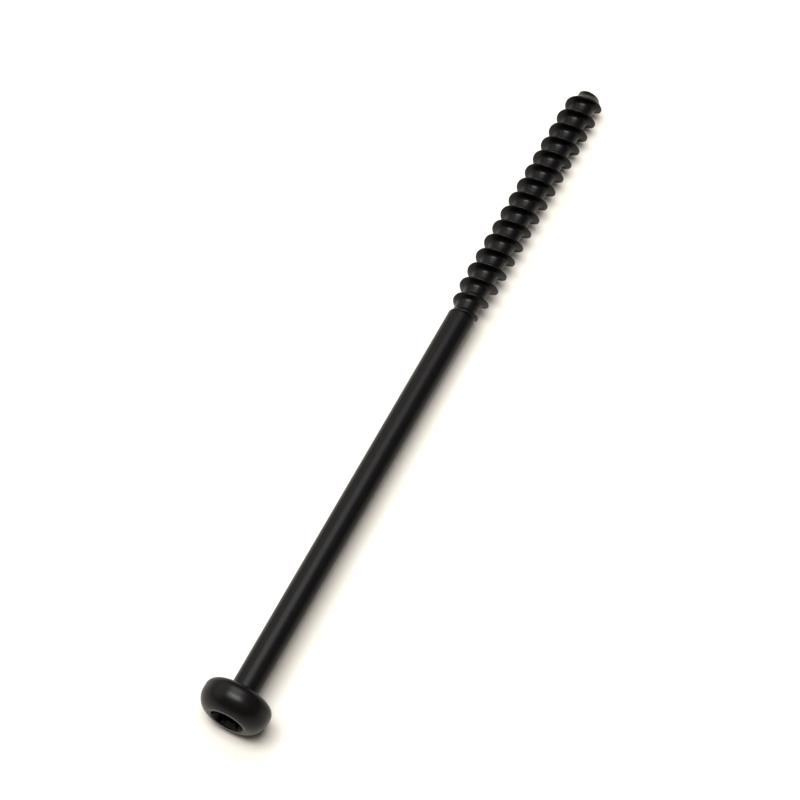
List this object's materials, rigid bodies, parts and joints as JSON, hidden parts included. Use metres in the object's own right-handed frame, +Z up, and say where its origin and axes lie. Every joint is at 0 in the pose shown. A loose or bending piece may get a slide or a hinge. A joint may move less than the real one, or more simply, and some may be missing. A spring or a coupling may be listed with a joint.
{
  "type": "pan head screw",
  "caption": "Long black steel screw: thick rounded pan head with a six-lobe socket, plain shank, and a coarse deep thread ending in a blunt tip.",
  "frame": {"origin": "on the surface it lies on, under the middle of its bounding box", "axes": "+Z up, +X from the head towards the tip; the screw's own axis drops 1.2 degrees towards the tip, because it rests on its head and its thread"},
  "size_m": [0.1586, 0.0142, 0.0142],
  "materials": {
    "black_coated_steel": "thin satin black coating over steel"
  },
  "bodies": {
    "root": {"screw": "black_coated_steel"}
  },
  "joints": []
}
